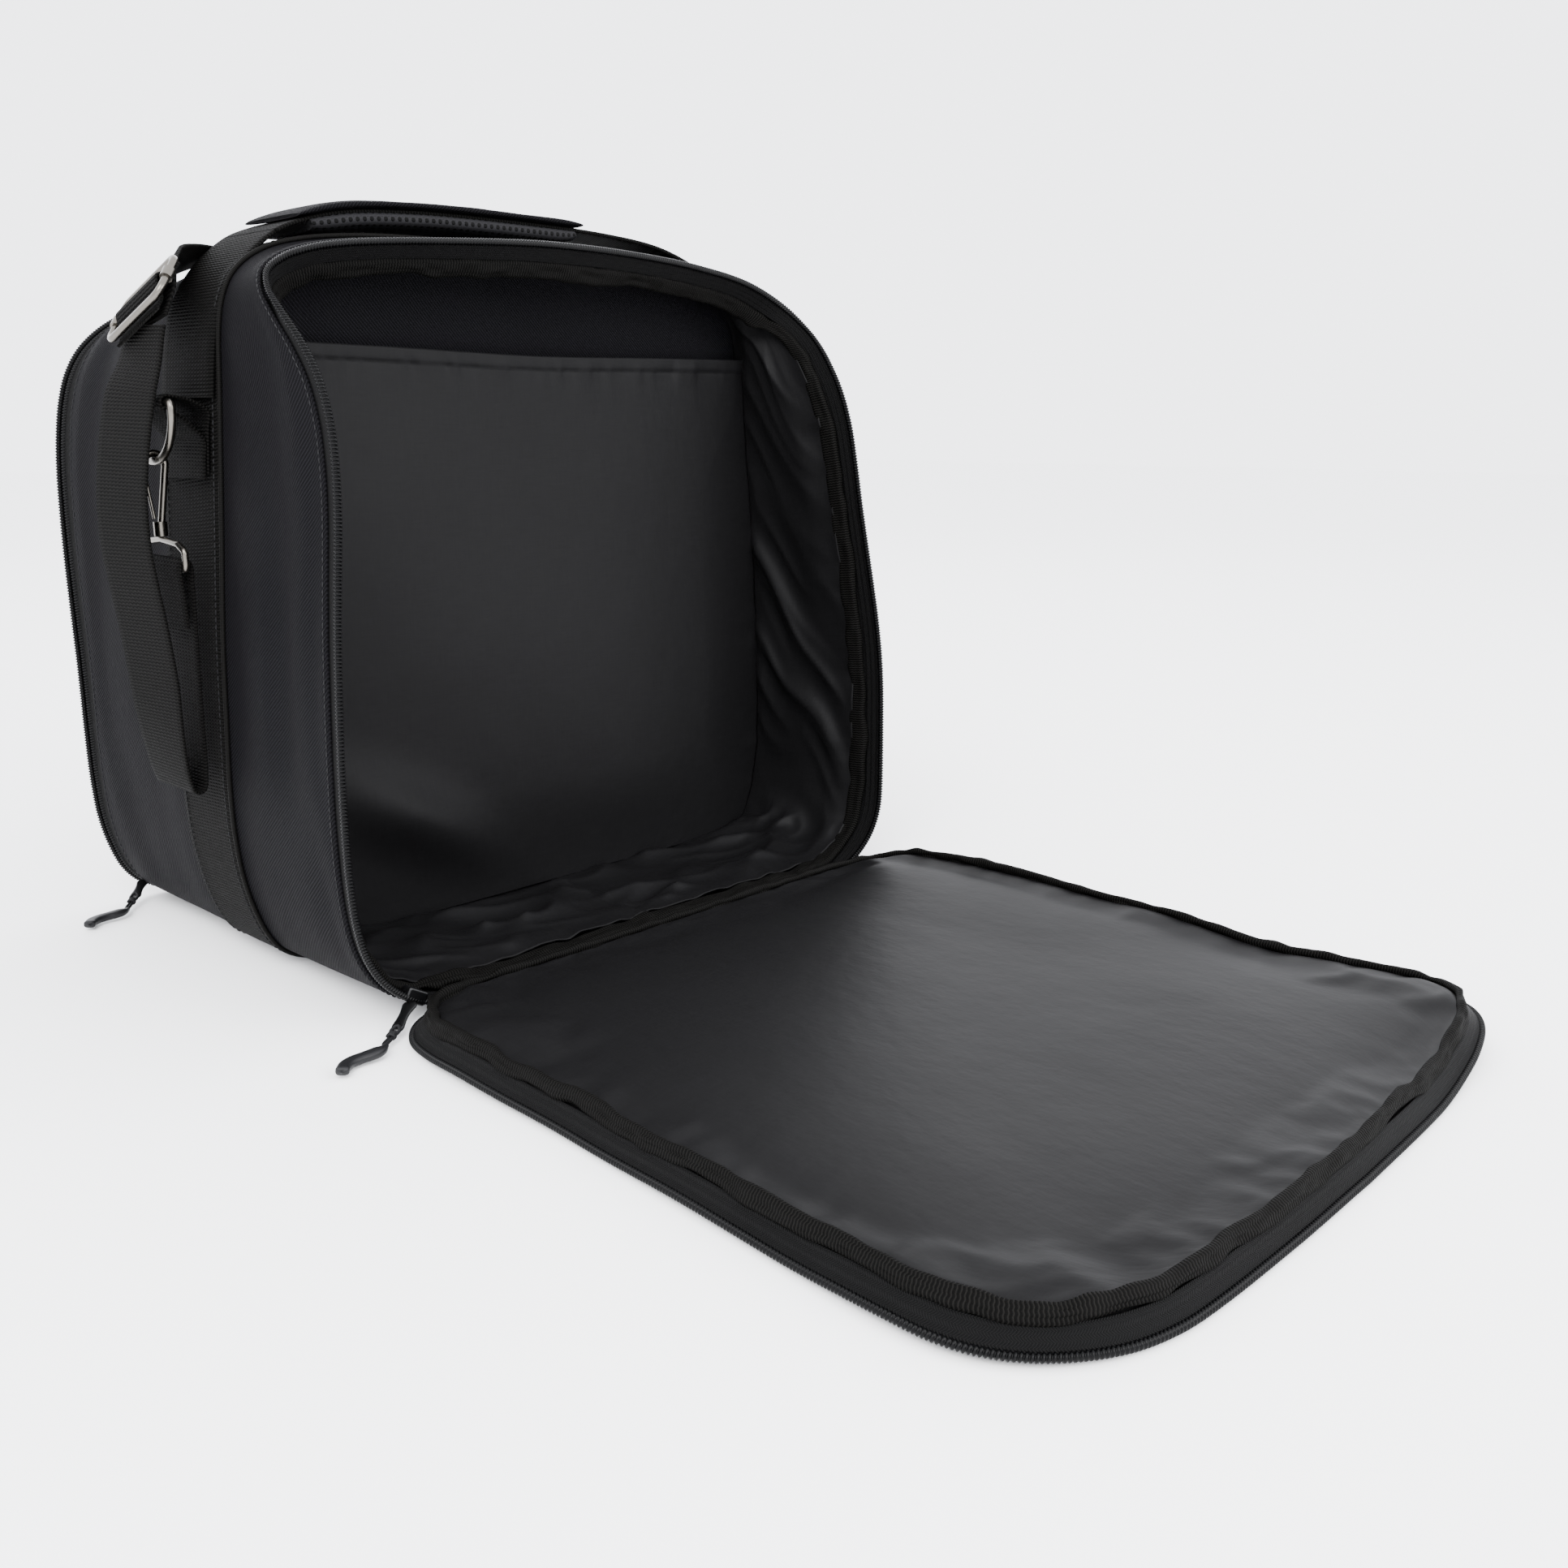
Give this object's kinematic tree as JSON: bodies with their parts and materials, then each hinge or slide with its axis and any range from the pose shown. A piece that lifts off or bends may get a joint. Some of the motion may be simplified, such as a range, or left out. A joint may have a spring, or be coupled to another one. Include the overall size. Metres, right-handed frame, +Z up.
{
  "type": "flight bag",
  "caption": "Square soft travel bag with two compartments closed by padded zip-round doors, one lying open, a padded carry handle, strap rings and a webbing shoulder strap.",
  "frame": {"origin": "under the middle of the bag's body, on the plane the belt webbing rests on", "axes": "+Z up, -Y towards the open front compartment, +X to the right seen from the front"},
  "size_m": [0.4156, 0.6311, 0.3667],
  "materials": {
    "outer_twill": "matt charcoal twill with a fine diagonal rib",
    "foam": "closed padding, hidden",
    "satin_lining": "dark grey satin with a soft sheen",
    "zip_tape": "black herringbone tape",
    "zip_coil": "black coil, semi-gloss",
    "woven_binding": "black woven tape with a cross rib",
    "webbing": "black ribbed webbing",
    "piping": "black corded piping",
    "nickel": "bright nickel plate",
    "black_metal": "gloss black enamel on metal",
    "pull_cord": "black braided cord",
    "grip_rubber": "matt dark grey moulded grip",
    "air_mesh": "black open air mesh"
  },
  "bodies": {
    "body": {"front_shell": "outer_twill", "rear_shell": "outer_twill", "front_foam": "foam", "front_lining": "satin_lining", "rear_foam": "foam", "rear_lining": "satin_lining", "divider_panel": "outer_twill", "divider_pocket": "satin_lining", "front_body_tape": "zip_tape", "front_body_coil": "zip_coil", "front_body_binding": "woven_binding", "rear_body_tape": "zip_tape", "rear_body_coil": "zip_coil", "rear_body_binding": "woven_binding", "hinge_tapes": "woven_binding", "belt_webbing": "webbing", "seam_piping": "piping", "front_slider": "black_metal", "rear_slider": "black_metal", "shoulder_strap": "webbing", "slide_adjuster": "nickel", "adjuster_bar": "nickel", "left_ring_tab": "webbing", "right_ring_tab": "webbing", "handle_ends": "webbing"},
    "front_door": {"front_door_panel_lower": "outer_twill", "front_door_tape_lower": "zip_tape", "front_door_coil_lower": "zip_coil", "front_door_binding_lower": "woven_binding", "front_door_foam_lower": "foam", "front_door_lining_lower": "satin_lining"},
    "front_door_top": {"front_door_panel_upper": "outer_twill", "front_door_tape_upper": "zip_tape", "front_door_coil_upper": "zip_coil", "front_door_binding_upper": "woven_binding", "front_door_foam_upper": "foam", "front_door_lining_upper": "satin_lining"},
    "rear_door": {"rear_door_panel": "outer_twill", "rear_door_tape": "zip_tape", "rear_door_coil": "zip_coil", "rear_door_binding": "woven_binding", "rear_door_foam": "foam", "rear_door_lining": "satin_lining"},
    "handle": {"handle_webbing": "webbing", "handle_pad": "outer_twill", "handle_mesh": "air_mesh"},
    "left_ring": {"left_d_ring": "nickel", "left_hook": "nickel", "strap_loop_left": "webbing"},
    "right_ring": {"right_d_ring": "nickel", "right_hook": "nickel", "strap_end_right": "webbing"},
    "left_hook_gate": {"left_gate": "nickel"},
    "right_hook_gate": {"right_gate": "nickel"},
    "front_pull_tab": {"front_pull_tab": "black_metal"},
    "front_pull_grip": {"front_pull_cord": "pull_cord", "front_pull_grip": "grip_rubber"},
    "rear_pull_tab": {"rear_pull_tab": "black_metal"},
    "rear_pull_grip": {"rear_pull_cord": "pull_cord", "rear_pull_grip": "grip_rubber"}
  },
  "joints": [
    {"name": "front_door_hinge", "type": "hinge", "parent": "body", "child": "front_door", "pos_m": [0, -0.1334, 0.003], "axis": [-1, 0, 0], "range_deg": [0, 90]},
    {"name": "front_door_flex", "type": "hinge", "parent": "front_door", "child": "front_door_top", "pos_m": [0, -0.3634, 0.0064], "axis": [-1, 0, 0], "range_deg": [0, 29.53]},
    {"name": "rear_door_hinge", "type": "hinge", "parent": "body", "child": "rear_door", "pos_m": [0, 0.1334, 0.003], "axis": [-1, 0, 0], "range_deg": [0, 90]},
    {"name": "handle_lift", "type": "slide", "parent": "body", "child": "handle", "axis": [0, 0, 1], "range_m": [0, 0.025]},
    {"name": "left_ring_swing", "type": "hinge", "parent": "body", "child": "left_ring", "pos_m": [-0.187, -0.002, 0.27], "axis": [0, 1, 0], "range_deg": [0, 25]},
    {"name": "right_ring_swing", "type": "hinge", "parent": "body", "child": "right_ring", "pos_m": [0.187, -0.002, 0.27], "axis": [0, -1, 0], "range_deg": [0, 25]},
    {"name": "left_gate_swing", "type": "hinge", "parent": "left_ring", "child": "left_hook_gate", "pos_m": [-0.1893, -0.002, 0.21855], "axis": [0, 1, 0], "range_deg": [0, 14], "stiffness_Nm_per_rad": 0.01, "springref_deg": -11.46},
    {"name": "right_gate_swing", "type": "hinge", "parent": "right_ring", "child": "right_hook_gate", "pos_m": [0.1893, -0.002, 0.21855], "axis": [0, -1, 0], "range_deg": [0, 14], "stiffness_Nm_per_rad": 0.01, "springref_deg": -11.46},
    {"name": "front_pull_lift", "type": "hinge", "parent": "body", "child": "front_pull_tab", "pos_m": [-0.153, -0.1338, 0.004], "axis": [-0.4581, 0.8889, 0], "range_deg": [0, 35]},
    {"name": "front_grip_lift", "type": "hinge", "parent": "front_pull_tab", "child": "front_pull_grip", "pos_m": [-0.166, -0.1405, 0.0026], "axis": [-0.4581, 0.8889, 0], "range_deg": [0, 45]},
    {"name": "rear_pull_lift", "type": "hinge", "parent": "body", "child": "rear_pull_tab", "pos_m": [-0.1595, 0.129, 0.0106], "axis": [-0.6866, 0.727, 0], "range_deg": [0, 25]},
    {"name": "rear_grip_lift", "type": "hinge", "parent": "rear_pull_tab", "child": "rear_pull_grip", "pos_m": [-0.1685, 0.1205, 0.004], "axis": [-0.6866, 0.727, 0], "range_deg": [0, 35]}
  ],
  "couplings": [
    {"joint": "front_door_flex", "follows": "front_door_hinge", "ratio": 0.32806}
  ]
}
